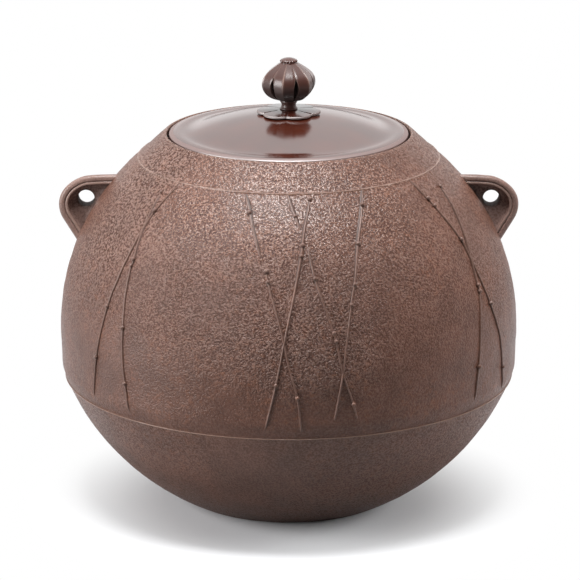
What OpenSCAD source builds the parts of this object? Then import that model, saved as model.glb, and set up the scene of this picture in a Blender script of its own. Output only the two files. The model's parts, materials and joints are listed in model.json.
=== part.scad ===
// Chagama: a round cast-iron tea kettle with a bronze lid and a turning knob.
// Millimetres. The origin is the centre of the base, +Z is up, and the lugs lie along X.

/* [Body] */
// Greatest outside diameter of the body
body_d = 236; // [226:1:250]
// Height of the greatest diameter above the base
belly_z = 90.5; // [86:0.5:98]
// Thickness of the cast wall
wall = 4; // [3:0.1:5]
// Height of the corner at the hip
hip_z = 72; // [70:0.5:78]
// How far the hip corner lies inside the greatest radius
hip_in = 0.4; // [0.2:0.1:1]
// Height of the joint between shell and bowl
seam_z = 65.6; // [60:0.2:67]
// How far the joint lies inside the hip corner
seam_in = 2; // [1:0.1:3]
// Diameter of the flat base
base_d = 108; // [98:1:114]
// Thickness of the floor at the base
floor_t = 4; // [3:0.1:6]
// Diameter of the raised shoulder line
shoulder_d = 154; // [140:1:170]
// Radius of the shoulder line's round
shoulder_line_r = 0.8; // [0.5:0.1:1.2]

/* [Joint of shell and bowl] */
// Height of the bowl's spigot inside the shell
lap_h = 8; // [5:0.5:12]
// Thickness of the lacquer in the joint
lacquer_t = 0.6; // [0.4:0.1:1]
// How far the lacquer line stands out at the hip
seam_line = 0.5; // [0.2:0.1:0.9]

/* [Mouth] */
// Gap between the lid's rim and the mouth, all round
lid_gap = 1.1; // [0.8:0.1:2.5]
// How far the mouth's edge stands above the body's sphere
mouth_up = 1.75; // [0.5:0.05:3]
// Width of the level lip at the mouth's edge
lip_w = 1.2; // [0.8:0.1:2]
// Depth of the ledge below the mouth's edge
ledge_drop = 5.2; // [2.5:0.1:7]
// Width of the ledge that carries the lid
ledge_w = 6.5; // [5:0.1:9]
// Thickness of the ledge
ledge_t = 3.2; // [2.5:0.1:4]

/* [Lugs] */
// Radius of a lug's outline
lug_r = 15.5; // [14:0.1:17]
// Height of the lug's centre above the greatest diameter
lug_rise = 63.1; // [58:0.1:70]
// How far the lug's centre stands out of the body's sphere
lug_out = 2.8; // [1.5:0.1:5]
// How far the lugs' middle plane lies behind the axis
lug_set = 11; // [0:0.5:14]
// Slope of the lug's lower edge from upright, in degrees
lug_slope = 31; // [24:1:38]
// Distance from the lug's middle plane to its front rim
lug_front = 8.5; // [7.5:0.1:10]
// Distance from the lug's middle plane to its back
lug_back = 6; // [5:0.1:8]
// Width of each of the two bands of the rim
band_w = 2.2; // [1.6:0.1:2.5]
// Depth of the rim plate
rim_t = 3.6; // [2.5:0.1:4.5]
// How far the inner band stands in front of the outer one
band_proud = 0.6; // [0.3:0.1:1]
// Diameter of the eye
eye_d = 8.6; // [7:0.1:9.6]
// How far the eye lies above the lug's centre
eye_up = 2.2; // [0:0.1:3.5]
// How far the eye lies outside the lug's centre
eye_out = 1.5; // [0:0.1:1.5]
// Length of the eye's straight wall
eye_length = 9; // [7.6:0.1:9.8]
// How deep the lug's root is cast into the wall
root_d = 2; // [1:0.1:2.4]

/* [Sounding plates] */
// Number of plates on the floor
plate_count = 5; // [3:1:6]
// Length of a plate
plate_l = 20; // [14:1:24]
// Width of a plate
plate_w = 12; // [9:1:15]
// Thickness of a plate
plate_t = 3; // [2:0.5:5]
// Corner radius of a plate
plate_corner = 2.5; // [1:0.5:4]
// Distance of a plate's middle from the axis
plate_ring = 31; // [26:1:33]
// Thickness of the lacquer bed under a plate
bed_t = 0.8; // [0.4:0.1:1.5]
// How far the bed shows round the plate
bed_edge = 0.8; // [0.4:0.1:1.5]

/* [Lid] */
// Diameter of the lid
lid_d = 122.4; // [116:0.2:128]
// Clearance between the lid and its ledge
lid_rest = 0.1; // [0.05:0.05:0.3]
// Thickness of the lid's rim
lid_rim_t = 5; // [4:0.1:6]
// Width of the lid's flat rim
lid_rim_w = 6; // [5:0.1:7]
// Height of the dome above the rim
dome_h = 9.2; // [7:0.1:12]
// Depth of the crease between dome and rim
crease_d = 0.6; // [0.3:0.1:1]
// Thickness of the dome
lid_t = 2.2; // [1.8:0.1:2.8]
// Bevel on the rim's upper edge
lid_bevel = 0.9; // [0.4:0.1:1.4]
// Clearance between the lid's skirt and the ledge
skirt_gap = 1; // [0.5:0.1:1.5]
// Thickness of the skirt
skirt_t = 2.4; // [1.6:0.1:3]
// Height of the skirt under the rim
skirt_h = 6; // [3:0.5:10]

/* [Washers and rivet] */
// Diameter of the rivet
pin_d = 5; // [4:0.1:5.6]
// Radial clearance of the rivet in lid and washers
pin_clear = 0.08; // [0.04:0.01:0.1]
// Play of the knob along the rivet at each end
knob_play = 0.1; // [0.05:0.05:0.3]
// Diameter across the seat washer's petals
seat_d = 33; // [30:0.2:38]
// Height of the seat washer's hub
seat_hub_h = 3; // [2.4:0.1:4]
// Diameter of the seat washer's hub
seat_hub_d = 10.4; // [9.6:0.2:12]
// Thickness of a petal
petal_t = 1.1; // [0.8:0.1:1.4]
// How far a petal falls from hub to tip
petal_fall = 2.2; // [1.6:0.1:2.4]
// Turn of the petals, in degrees
petal_turn = -5; // [-30:1:30]
// Diameter of the washer under the lid
under_d = 18; // [14:0.5:24]
// Thickness of the washer under the lid
under_t = 1.2; // [0.8:0.1:2]
// Diameter of the rivet's peened head
head_d = 9; // [7.5:0.1:11]
// Height of the rivet's peened head
head_h = 2; // [1.2:0.1:3]

/* [Knob] */
// Height of the stem
stem_h = 3.8; // [3:0.1:6]
// Diameter of the stem's foot
stem_foot_d = 9.2; // [8.4:0.1:10]
// Diameter of the stem's waist
stem_waist_d = 7.3; // [7:0.1:8]
// Greatest diameter of the bud
bud_d = 28; // [24:0.2:34]
// Height of the bud
bud_h = 20.4; // [17:0.2:26]
// Height of the bud's greatest diameter as a share of its height
bud_belly = 0.5; // [0.44:0.01:0.56]
// Diameter of the bud's flat top
bud_top_d = 10; // [9.4:0.1:12]
// Diameter of the bud's flat bottom
bud_bottom_d = 9.2; // [8.8:0.1:11]
// Angle of a lobe's two faces from its middle, in degrees
lobe_angle = 24; // [18:1:28]
// Turn of the lobes, in degrees
lobe_turn = 18; // [-30:1:30]
// Wall thickness of the bud
bud_wall = 1.6; // [1.2:0.1:2.2]
// Width of the slits between the lobes
slit_w = 1.7; // [1:0.1:2.4]
// Diameter of the crown
crown_d = 8.8; // [8:0.1:9.4]
// Height of the crown
crown_h = 3; // [2.6:0.1:4]
// Number of teeth on the crown
crown_teeth = 18; // [12:1:24]

/* [Hidden] */
$fn = 96;
lobes = 6;
lobe_step = 360 / lobes;
eps = 0.02;
body_r = body_d / 2;
base_r = base_d / 2;
hip_r = body_r - hip_in;
seam_r = hip_r - seam_in;
hip_top_z = belly_z - 6;
hip_top_r = sqrt(body_r * body_r - 36);
shell_z = seam_z + lacquer_t;
shell_foot_r = seam_r + seam_in * lacquer_t / (hip_z - seam_z);
// The bowl is a sphere through the joint and the edge of the base.
bowl_z = (seam_r * seam_r + seam_z * seam_z - base_r * base_r) / (2 * seam_z);
bowl_r = sqrt(base_r * base_r + bowl_z * bowl_z);
spigot_r = seam_r - wall / 2;
spigot_foot_z = seam_z - 1;
spigot_in_r = sqrt(pow(bowl_r - wall, 2) - pow(bowl_z - spigot_foot_z, 2));
spigot_z = seam_z + lap_h;
lap_r = spigot_r + lacquer_t;
lap_z = spigot_z + lacquer_t;
lid_r = lid_d / 2;
mouth_r = lid_r + lid_gap;
mouth_z = belly_z + sqrt(body_r * body_r - mouth_r * mouth_r) + mouth_up;
ledge_z = mouth_z - ledge_drop;
ledge_r = mouth_r - ledge_w;
shoulder_r = shoulder_d / 2;
shoulder_z = belly_z + sqrt(body_r * body_r - shoulder_r * shoulder_r);
lug_z = belly_z + lug_rise;
lug_x = sqrt(pow(body_r + lug_out, 2) - lug_rise * lug_rise);
eye_r = eye_d / 2;
eye_x = lug_x + eye_out;
eye_z = lug_z + eye_up;
dish_r = lug_r - 2 * band_w;
lid_z = ledge_z + lid_rest;
rim_z = lid_z + lid_rim_t;
apex_z = rim_z + dome_h;
foot_r = lid_r - lid_rim_w - 2 * crease_d;
foot_z = rim_z - crease_d;
dome_rise = apex_z - foot_z;
dome_r = (foot_r * foot_r + dome_rise * dome_rise) / (2 * dome_rise);
dome_z = apex_z - dome_r;
skirt_r = ledge_r - skirt_gap;
skirt_in_r = skirt_r - skirt_t;
hollow_z = foot_z - lid_t;
hollow_r = min(skirt_in_r, sqrt(pow(dome_r - lid_t, 2) - pow(hollow_z - dome_z, 2)));
pin_r = pin_d / 2;
bore_r = pin_r + pin_clear;
seat_r = seat_d / 2;
seat_top_z = apex_z + seat_hub_h;
under_top_z = dome_z + sqrt(pow(dome_r - lid_t, 2) - pow(under_d / 2, 2)) - eps;
head_z = under_top_z - under_t - knob_play;
stem_z = seat_top_z + knob_play;
bud_z = stem_z + stem_h;
bud_top_z = bud_z + bud_h;
belly_h = bud_h * bud_belly;
crown_z = bud_top_z;
top_z = crown_z + crown_h;

iron = [0.40, 0.31, 0.26];
dark_iron = [0.30, 0.24, 0.21];
lacquer = [0.36, 0.24, 0.17];
bronze = [0.36, 0.22, 0.17];
dark_bronze = [0.24, 0.16, 0.13];

// A rectangle from the axis outwards, between two heights
module band(r_in, r_out, z_low, z_high) {
    translate([r_in, z_low])
        square([r_out - r_in, z_high - z_low]);
}

// The part of a disc on the axis that lies between two heights
module disc_slice(r, z, z_low, z_high) {
    intersection() {
        translate([0, z])
            circle(r = r);
        band(0, r + 1, z_low, z_high);
    }
}

// The body's outside: sphere, hip, straight neck above the shoulder line, and that line itself
module shell_outside() {
    disc_slice(body_r, belly_z, hip_top_z, belly_z + body_r + 1);
    polygon([
        [0, shell_z],
        [shell_foot_r, shell_z],
        [hip_r, hip_z],
        [hip_top_r, hip_top_z],
        [0, hip_top_z]
    ]);
    polygon([
        [0, shoulder_z],
        [shoulder_r, shoulder_z],
        [mouth_r + lip_w, mouth_z],
        [0, mouth_z]
    ]);
    translate([shoulder_r, shoulder_z])
        circle(r = shoulder_line_r);
}

module shell_inside() {
    disc_slice(body_r - wall, belly_z, lap_z, ledge_z - ledge_t);
    band(0, lap_r, shell_z - 1, lap_z);
    band(0, ledge_r, ledge_z - ledge_t - 1, mouth_z + 40);
    band(0, mouth_r, ledge_z, mouth_z + 40);
}

// Cast upper body with the mouth, the lid ledge and the two lug sockets
module upper_shell() {
    color(iron)
        difference() {
            rotate_extrude()
                difference() {
                    shell_outside();
                    shell_inside();
                }
            lug_root();
            mirror([1, 0, 0])
                lug_root();
        }
}

// Cast bottom with a flat base and the spigot that goes up inside the shell
module bottom_bowl() {
    color(iron)
        rotate_extrude()
            difference() {
                union() {
                    disc_slice(bowl_r, bowl_z, 0, seam_z);
                    band(0, spigot_r, spigot_foot_z, spigot_z);
                }
                disc_slice(bowl_r - wall, bowl_z, floor_t, spigot_foot_z);
                band(0, spigot_in_r, spigot_foot_z, spigot_z + 1);
            }
}

// Lacquer that fills the joint and shows as a fine line round the hip
module seam_lacquer() {
    color(lacquer)
        rotate_extrude()
            union() {
                band(spigot_r, seam_r + seam_line, seam_z, shell_z);
                band(spigot_r, lap_r, seam_z, spigot_z);
            }
}

// Outline of a lug: a round with a level upper edge and a sloping lower edge
module lug_outline(r) {
    tip = [lug_x + r * cos(lug_slope), lug_z - r * sin(lug_slope)];
    run = 3 * lug_r;
    translate([lug_x, lug_z])
        circle(r = r);
    polygon([
        [lug_x, lug_z + r],
        [lug_x / 2, lug_z + r],
        [lug_x / 2, tip[1] - run * cos(lug_slope)],
        [tip[0] - run * sin(lug_slope), tip[1] - run * cos(lug_slope)],
        tip
    ]);
}

// A lug outline as a plate between two distances from the middle plane, front first
module lug_plate(r, y_front, y_back) {
    translate([0, lug_set + y_back, 0])
        rotate([90, 0, 0])
            linear_extrude(height = y_back - y_front)
                lug_outline(r);
}

// The plates of a lug, reaching on into the body
module lug_blank() {
    lug_plate(lug_r, -lug_front, rim_t - lug_front);
    lug_plate(lug_r - band_w, -lug_front - band_proud, rim_t - lug_front);
    lug_plate(lug_r - 1.5 * band_w, rim_t - lug_front, lug_back);
}

// The end of a lug that is cast into the wall
module lug_root() {
    difference() {
        lug_blank();
        translate([0, 0, belly_z])
            sphere(r = body_r - root_d);
    }
}

// A lug with its dished front, its eye and its countersunk back
module lug() {
    difference() {
        lug_root();
        difference() {
            lug_plate(dish_r, -lug_front - band_proud - 1, -eye_length / 2);
            translate([0, 0, belly_z])
                sphere(r = body_r);
        }
        translate([eye_x, lug_set + lug_back + 1, eye_z])
            rotate([90, 0, 0])
                cylinder(h = lug_back + lug_front + 2, r = eye_r);
        translate([eye_x, lug_set + lug_back, eye_z])
            rotate([90, 0, 0])
                cylinder(h = lug_back - eye_length / 2, r1 = eye_r + 1, r2 = eye_r);
    }
}

// Lug on the right, at +X
module right_lug() {
    color(iron)
        lug();
}

// Lug on the left, at -X
module left_lug() {
    color(iron)
        mirror([1, 0, 0])
            lug();
}

// Rectangle with round corners about the origin
module round_rect(l, w, r) {
    square([l - 2 * r, w], center = true);
    square([l, w - 2 * r], center = true);
    for (x = [-1, 1], y = [-1, 1])
        translate([x * (l / 2 - r), y * (w / 2 - r)])
            circle(r = r);
}

module at_plate(i) {
    rotate([0, 0, 90 + 360 * (i - 1) / plate_count])
        translate([plate_ring, 0, floor_t])
            children();
}

// Lacquer beds under the sounding plates
module plate_lacquer() {
    color(lacquer)
        for (i = [1:plate_count])
            at_plate(i)
                linear_extrude(height = bed_t)
                    round_rect(plate_l + 2 * bed_edge, plate_w + 2 * bed_edge, plate_corner + bed_edge);
}

// One iron plate on its bed
module sounding_plate(i) {
    color(dark_iron)
        at_plate(i)
            translate([0, 0, bed_t])
                linear_extrude(height = plate_t)
                    round_rect(plate_l, plate_w, plate_corner);
}

// Bronze lid: dome, flat rim and the skirt that centres it
module lid_dome() {
    color(bronze)
        rotate_extrude()
            difference() {
                union() {
                    disc_slice(dome_r, dome_z, foot_z, apex_z + 1);
                    polygon([
                        [0, lid_z],
                        [lid_r, lid_z],
                        [lid_r, rim_z - lid_bevel],
                        [lid_r - lid_bevel, rim_z],
                        [foot_r + 2 * crease_d, rim_z],
                        [foot_r, foot_z],
                        [0, foot_z]
                    ]);
                    band(skirt_in_r, skirt_r, lid_z - skirt_h, lid_z);
                }
                disc_slice(dome_r - lid_t, dome_z, hollow_z, apex_z);
                band(0, hollow_r, lid_z - 1, hollow_z);
                band(0, bore_r, lid_z - 1, apex_z + 1);
            }
}

// Six-petalled washer that the knob turns on
module seat_washer() {
    petal_r = seat_r * 0.54;
    hub_r = seat_hub_d / 2;
    tip_z = seat_top_z - petal_fall;
    color(dark_bronze)
        difference() {
            union() {
                intersection() {
                    rotate_extrude()
                        polygon([
                            [0, seat_top_z - petal_t],
                            [hub_r, seat_top_z - petal_t],
                            [seat_r + 1, tip_z - petal_t],
                            [seat_r + 1, tip_z],
                            [hub_r, seat_top_z],
                            [0, seat_top_z]
                        ]);
                    translate([0, 0, apex_z - 5])
                        linear_extrude(height = 20)
                            for (i = [0:lobes - 1])
                                rotate([0, 0, petal_turn + lobe_step * i])
                                    translate([seat_r - petal_r, 0])
                                        circle(r = petal_r);
                }
                translate([0, 0, apex_z])
                    cylinder(h = seat_hub_h, r = hub_r);
            }
            translate([0, 0, apex_z - 5])
                cylinder(h = 20, r = bore_r);
        }
}

// Washer between the lid's underside and the rivet head
module under_washer() {
    color(dark_bronze)
        translate([0, 0, under_top_z - under_t])
            difference() {
                cylinder(h = under_t, r = under_d / 2);
                translate([0, 0, -1])
                    cylinder(h = under_t + 2, r = bore_r);
            }
}

// Rivet through the knob and the lid, peened to a round head underneath
module knob_pin() {
    color(dark_bronze)
        union() {
            translate([0, 0, head_z - 0.5])
                cylinder(h = crown_z + crown_h / 2 - head_z + 0.5, r = pin_r);
            translate([0, 0, head_z - head_h])
                cylinder(h = head_h, r1 = head_d / 3, r2 = head_d / 2);
        }
}

// Waisted stem between the seat washer and the bud
module knob_stem() {
    color(dark_bronze)
        rotate_extrude()
            polygon([
                [pin_r, stem_z],
                [stem_foot_d / 2, stem_z],
                [stem_foot_d / 2, stem_z + stem_h * 0.14],
                [stem_waist_d / 2 + 0.3, stem_z + stem_h * 0.32],
                [stem_waist_d / 2, stem_z + stem_h * 0.55],
                [stem_waist_d / 2 + 0.1, stem_z + stem_h * 0.75],
                [stem_waist_d / 2 + 0.5, bud_z],
                [pin_r, bud_z]
            ]);
}

// Radius of the bud at a share of its height, as an ellipse below the belly and a cosine above it
function bud_radius(t) =
    let (r = bud_d / 2, low = bud_bottom_d / 2, high = bud_top_d / 2)
    t < bud_belly
        ? low + (r - low) * sqrt(1 - pow(1 - t / bud_belly, 2))
        : high + (r - high) * cos(90 * pow((t - bud_belly) / (1 - bud_belly), 1.15));

bud_steps = [0, 0.04, 0.1, 0.18, 0.28, 0.38, 0.5, 0.58, 0.66, 0.74, 0.82, 0.9, 0.96, 1];

// One face of a lobe, as its section run level along the face
module lobe_face(angle) {
    rotate([0, 0, angle])
        rotate([90, 0, 0])
            linear_extrude(height = 2 * bud_d, center = true)
                polygon(concat(
                    [[-bud_d, bud_z]],
                    [for (t = bud_steps) [bud_radius(t) * cos(lobe_angle), bud_z + t * bud_h]],
                    [[-bud_d, bud_top_z]]
                ));
}

// Six-lobed hollow bud with slits between the lobes
module knob_bud() {
    color(dark_bronze)
        difference() {
            intersection_for(i = [0:lobes - 1]) {
                rotate([0, 0, lobe_turn + lobe_step * i])
                    intersection() {
                        lobe_face(lobe_angle);
                        lobe_face(-lobe_angle);
                    }
            }
            rotate_extrude()
                polygon(concat(
                    [[0, bud_z + 0.1 * bud_h]],
                    [for (t = bud_steps) if (t > 0.05 && t < 0.95)
                        [bud_radius(t) * cos(lobe_angle) - bud_wall, bud_z + t * bud_h]],
                    [[0, bud_z + 0.9 * bud_h]]
                ));
            for (i = [0:lobes - 1])
                rotate([0, 0, lobe_turn + lobe_step * (i + 0.5)])
                    translate([pin_r + 1, -slit_w / 2, bud_z + 0.14 * bud_h])
                        cube([bud_d, slit_w, 0.52 * bud_h]);
            translate([0, 0, bud_z - 1])
                cylinder(h = bud_h + 2, r = pin_r);
        }
}

// Toothed crown with a domed top that closes the rivet's upper end
module knob_crown() {
    r = crown_d / 2;
    cap_h = crown_h * 0.45;
    cap_r = (r * r + cap_h * cap_h) / (2 * cap_h);
    color(dark_bronze)
        difference() {
            intersection() {
                translate([0, 0, crown_z])
                    cylinder(h = crown_h, r = r);
                translate([0, 0, top_z - cap_r])
                    sphere(r = cap_r);
            }
            for (i = [0:crown_teeth - 1])
                rotate([0, 0, 360 * i / crown_teeth])
                    translate([r + 0.1, 0, crown_z - 1])
                        cylinder(h = crown_h, r = 0.4);
            translate([0, 0, crown_z - 1])
                cylinder(h = crown_h / 2 + 1, r = pin_r);
        }
}

upper_shell();
bottom_bowl();
seam_lacquer();
left_lug();
right_lug();
plate_lacquer();
for (i = [1:plate_count]) {
    sounding_plate(i);
}
lid_dome();
seat_washer();
under_washer();
knob_stem();
knob_bud();
knob_crown();
knob_pin();
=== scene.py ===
# %% [markdown]
# # Dressing a chagama, an iron tea kettle
# The kettle's solids come packed as a fixed frame: a spherical iron body, a loose bronze lid and a knob that
# turns. This lesson covers them with finer meshes and finishes in the same place and the same metres, so
# that every piece still moves with the solid it stands for. The frame is loaded first. Sizes that a solid
# already has are read from its box.

# %% Load the frame
import json
import math

import bmesh
import bpy
import numpy as np
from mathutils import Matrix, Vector, noise


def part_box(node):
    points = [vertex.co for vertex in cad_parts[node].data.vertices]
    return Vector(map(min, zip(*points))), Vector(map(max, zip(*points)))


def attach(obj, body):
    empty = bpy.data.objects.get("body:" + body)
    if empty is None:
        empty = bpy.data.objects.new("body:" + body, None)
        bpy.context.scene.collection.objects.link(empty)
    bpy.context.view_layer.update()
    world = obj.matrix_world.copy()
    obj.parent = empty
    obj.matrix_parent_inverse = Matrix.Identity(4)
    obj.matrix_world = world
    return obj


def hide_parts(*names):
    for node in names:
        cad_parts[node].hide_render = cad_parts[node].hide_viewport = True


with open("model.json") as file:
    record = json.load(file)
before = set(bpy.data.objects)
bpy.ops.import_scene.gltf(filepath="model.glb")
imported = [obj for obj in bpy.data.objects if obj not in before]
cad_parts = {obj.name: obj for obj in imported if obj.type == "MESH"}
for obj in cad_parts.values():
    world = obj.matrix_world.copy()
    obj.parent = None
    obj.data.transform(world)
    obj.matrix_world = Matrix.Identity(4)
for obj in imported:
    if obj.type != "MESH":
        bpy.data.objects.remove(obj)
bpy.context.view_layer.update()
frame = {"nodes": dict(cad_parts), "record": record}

MM = 0.001


def corners(node):
    """Lowest and highest corner of a solid, in millimetres."""
    low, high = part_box(node)
    return Vector(low) / MM, Vector(high) / MM


def add_object(name, data):
    """A new object in the scene."""
    made = bpy.data.objects.new(name, data)
    bpy.context.scene.collection.objects.link(made)
    return made


# %% [markdown]
# ## Camera
# A product photograph is taken from far away with a long lens, which keeps the sides of a round pot upright.
# The lens, the height and the distance below are the ones at which the lid, the shoulder line and the hip
# line fall where the photograph has them. A small shift centres the pot as the photograph does.

# %% Camera
PHOTO_PX, FOCUS_PX = 580, 3474.8
AIM_PX_X, AIM_PX_Y = 288.7, 290.3
SENSOR = 36
DISTANCE, ELEVATION = 1.8, math.radians(16.35)
aim = Vector((0, 0, 0.1081))
lens_data = bpy.data.cameras.new("photo_camera")
lens_data.sensor_width = SENSOR
lens_data.lens = SENSOR * FOCUS_PX / PHOTO_PX
lens_data.shift_x = (PHOTO_PX / 2 - AIM_PX_X) / PHOTO_PX
lens_data.shift_y = (AIM_PX_Y - PHOTO_PX / 2) / PHOTO_PX
lens_data.clip_end = 50
camera = add_object("photo_camera", lens_data)
camera.location = aim + DISTANCE * Vector((0, -math.cos(ELEVATION), math.sin(ELEVATION)))
camera.rotation_euler = (aim - camera.location).to_track_quat("-Z", "Y").to_euler()
bpy.context.scene.camera = camera
print("lens", round(lens_data.lens, 1), "mm at", [round(c, 3) for c in camera.location])

# %% [markdown]
# ## A short way to write shaders
# A finish is a sum of small patterns, and sums read best as formulas. The first class below wraps a node's
# output, so that `0.4 + 0.2 * grain` adds the Math nodes by itself. Every other node comes from one method,
# which takes the node's type, its settings and what goes into its sockets.

# %% Shader arithmetic
class Wire:
    """One output socket; arithmetic on it adds Math nodes."""

    def __init__(self, finish, socket):
        self.finish, self.socket = finish, socket

    def at(self, name):
        outs = self.socket.node.outputs
        return Wire(self.finish, next(s for s in outs if name in (s.identifier, s.name)))

    def math(self, operation, a, b):
        return self.finish.node("ShaderNodeMath", {"operation": operation}, {0: a, 1: b})

    def __add__(self, other):
        return self.math("ADD", self, other)

    def __radd__(self, other):
        return self.math("ADD", other, self)

    def __sub__(self, other):
        return self.math("SUBTRACT", self, other)

    def __rsub__(self, other):
        return self.math("SUBTRACT", other, self)

    def __mul__(self, other):
        return self.math("MULTIPLY", self, other)

    def __rmul__(self, other):
        return self.math("MULTIPLY", other, self)


def add_node(tree, kind, settings, sockets):
    """A new node: its settings first, then its sockets, named by number, identifier or name."""
    made = tree.nodes.new(kind)
    for key, value in (settings or {}).items():
        setattr(made, key, value)
    for key, value in (sockets or {}).items():
        target = made.inputs[key] if isinstance(key, int) else next(
            s for s in made.inputs if key == s.identifier or (key == s.name and s.enabled))
        if isinstance(value, Wire):
            value = value.socket
        if isinstance(value, bpy.types.NodeSocket):
            tree.links.new(value, target)
        else:
            target.default_value = value
    return made


print("shader arithmetic ready")

# %% Finishes and colours
class Finish:
    """One material, or the world, with its node tree."""

    def __init__(self, name, block=None):
        self.block = block or bpy.data.materials.new(name)
        self.block.use_nodes = True
        self.tree = self.block.node_tree
        self.tree.nodes.clear()

    def node(self, kind, settings=None, sockets=None):
        made = add_node(self.tree, kind, settings, sockets)
        return Wire(self, next(s for s in made.outputs if s.enabled)) if made.outputs else made

    def mix(self, factor, a, b):
        return self.node("ShaderNodeMix", {"data_type": "RGBA"},
                         {"Factor_Float": factor, "A_Color": a, "B_Color": b}).at("Result_Color")

    def fade(self, value, low, high):
        return self.node("ShaderNodeMapRange", {"interpolation_type": "SMOOTHSTEP"},
                         {"Value": value, "From Min": low, "From Max": high})

    def noise(self, place, scale, detail, rough):
        return self.node("ShaderNodeTexNoise", None,
                         {"Vector": place, "Scale": scale, "Detail": detail, "Roughness": rough})

    def carried(self, name):
        """A number that the piece carries at each of its points."""
        return self.node("ShaderNodeAttribute", {"attribute_name": name}).at("Fac")

    def rays(self):
        """Two switches: 1 where the camera looks straight on, and 1 where a mirror or a glass shows it."""
        ray = self.node("ShaderNodeLightPath")
        return ray.at("Is Camera Ray"), ray.math("MAXIMUM", ray.at("Is Glossy Ray"),
                                                 ray.at("Is Transmission Ray"))

    def output(self, shader, kind="ShaderNodeOutputMaterial"):
        self.node(kind, None, {"Surface": shader})


def ink(red, green, blue):
    """A colour as it looks on a screen, 0 to 255, turned into the light values that shaders use."""
    def light(c):
        c = c / 255
        return c / 12.92 if c <= 0.04045 else ((c + 0.055) / 1.055) ** 2.4
    return (light(red), light(green), light(blue), 1.0)


WHITE = (1, 1, 1, 1)
print("a mid brown in light values:", [round(c, 3) for c in ink(120, 92, 80)])

# %% [markdown]
# ## White room
# The kettle stands on white paper with a white wall behind it. To the camera the world is plain white.
# Reflections see that wall too, brightest low down, where its own lamps light it, and they see a dim room
# behind the camera, as in a studio. As a source of light the world is weak, so that shape comes from the
# lamps: a broad one above the front, a soft one far to the left and one at the right that only fills the
# shade, so no surface mirrors it.

# %% World
room = Finish("room", bpy.data.worlds.new("white_room"))
bpy.context.scene.world = room.block
seen, mirrored = room.rays()
towards = room.node("ShaderNodeTexCoord").at("Generated")
split = room.node("ShaderNodeSeparateXYZ", None, {"Vector": towards})
behind = room.fade(split.at("Y") + 0.6 * split.at("Z"), 0.1, 0.8)
low_wall = (1 - room.fade(split.at("Z"), 0.16, 0.27)) * room.fade(split.at("Y"), 0.7, 0.95)
mirror_image = 0.06 + 0.88 * behind + 0.4 * low_wall
weak_light = 0.1 + 0.16 * behind
strength = seen.math("MAXIMUM", seen, mirrored * mirror_image) + weak_light * (1 - seen) * (1 - mirrored)
room.output(room.node("ShaderNodeBackground", None, {"Color": WHITE, "Strength": strength}),
            "ShaderNodeOutputWorld")
print("world nodes:", len(room.tree.nodes))

# %% Lamps
POT_MIDDLE = Vector((0, 0, 0.11))


def soft_lamp(name, place, size, watts):
    data = bpy.data.lights.new(name, "AREA")
    data.shape = "RECTANGLE"
    data.size, data.size_y = size
    data.energy = watts
    lamp = add_object(name, data)
    lamp.location = place
    lamp.rotation_euler = (POT_MIDDLE - lamp.location).to_track_quat("-Z", "Y").to_euler()
    return lamp


soft_lamp("front_top_lamp", place=(-0.05, -0.28, 1.2), size=(0.5, 0.3), watts=16.4)
soft_lamp("left_lamp", place=(-1.2, -0.45, 0.5), size=(0.5, 0.9), watts=16.8)
right_lamp = soft_lamp("right_lamp", place=(1.3, 0.08, 0.5), size=(0.4, 0.8), watts=13.5)
right_lamp.visible_glossy = False

# %% [markdown]
# ## Floor
# White paper shows a soft grey shadow round the foot of the pot and turns plain white a hand's breadth
# further off, as it does where a wall of light stands behind it. To the camera the paper fades from its own
# shaded tone to plain white; the light that it sends back up to the pot is that of a dull pale paper.

# %% Floor
SHADOW_FORWARD, SHADOW_FROM, SHADOW_TO = 0.021, 0.058, 0.139
DULL_PAPER, SEEN_PAPER = (0.24, 0.24, 0.24, 1), (0.915, 0.928, 0.95, 1)
SHEET = 4.0
paper = Finish("white_paper")
flat_place = paper.node("ShaderNodeTexCoord").at("Object")
from_foot = paper.node("ShaderNodeVectorMath", {"operation": "ADD"},
                       {0: flat_place, 1: (0, SHADOW_FORWARD, 0)})
away = paper.node("ShaderNodeVectorMath", {"operation": "LENGTH"}, {0: from_foot}).at("Value")
paper_seen, paper_mirrored = paper.rays()
backward = paper.node("ShaderNodeSeparateXYZ", None, {"Vector": flat_place}).at("Y")
# To mirrors the paper in front of the pot is darker than behind it, a painted shade.
mirror_share = 0.1 + 0.6 * paper.fade(backward, -0.2, 0.1)
tone = paper.mix(paper_seen + paper_mirrored * mirror_share, DULL_PAPER, SEEN_PAPER)
shaded = paper.node("ShaderNodeBsdfDiffuse", None, {"Color": tone})
plain = paper.node("ShaderNodeEmission", None, {"Color": WHITE, "Strength": 1.0})
to_white = paper.fade(away, SHADOW_FROM, SHADOW_TO) * paper_seen
paper.output(paper.node("ShaderNodeMixShader", None, {0: to_white, 1: shaded, 2: plain}))
sheet = bpy.data.meshes.new("floor")
sheet_corners = [(x * SHEET, y * SHEET, 0) for x, y in ((-1, -1), (1, -1), (1, 1), (-1, 1))]
sheet.from_pydata(sheet_corners, [], [range(4)])
floor = add_object("floor", sheet)
floor.data.materials.append(paper.block)
print("floor", tuple(round(d, 1) for d in floor.dimensions))

# %% [markdown]
# ## Turned meshes
# Body, bowl, lid, stem and crown are figures of revolution. A Screw modifier could turn a curve into each,
# but the cast skin needs its own small dents in every row, so rows of points are laid out directly. A row
# on the axis becomes one point, which keeps poles closed. Round stretches of an outline are written as arcs,
# and a small bevel takes off each sharp corner.

# %% Outline helpers
BEVEL = 0.4


def arc(centre, radius, start, end, count):
    """Points of a round stretch of an outline; 0 degrees points outwards and 90 degrees up."""
    turns = np.radians(np.linspace(start, end, count))
    return [(centre[0] + radius * math.cos(a), centre[1] + radius * math.sin(a)) for a in turns]


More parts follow.
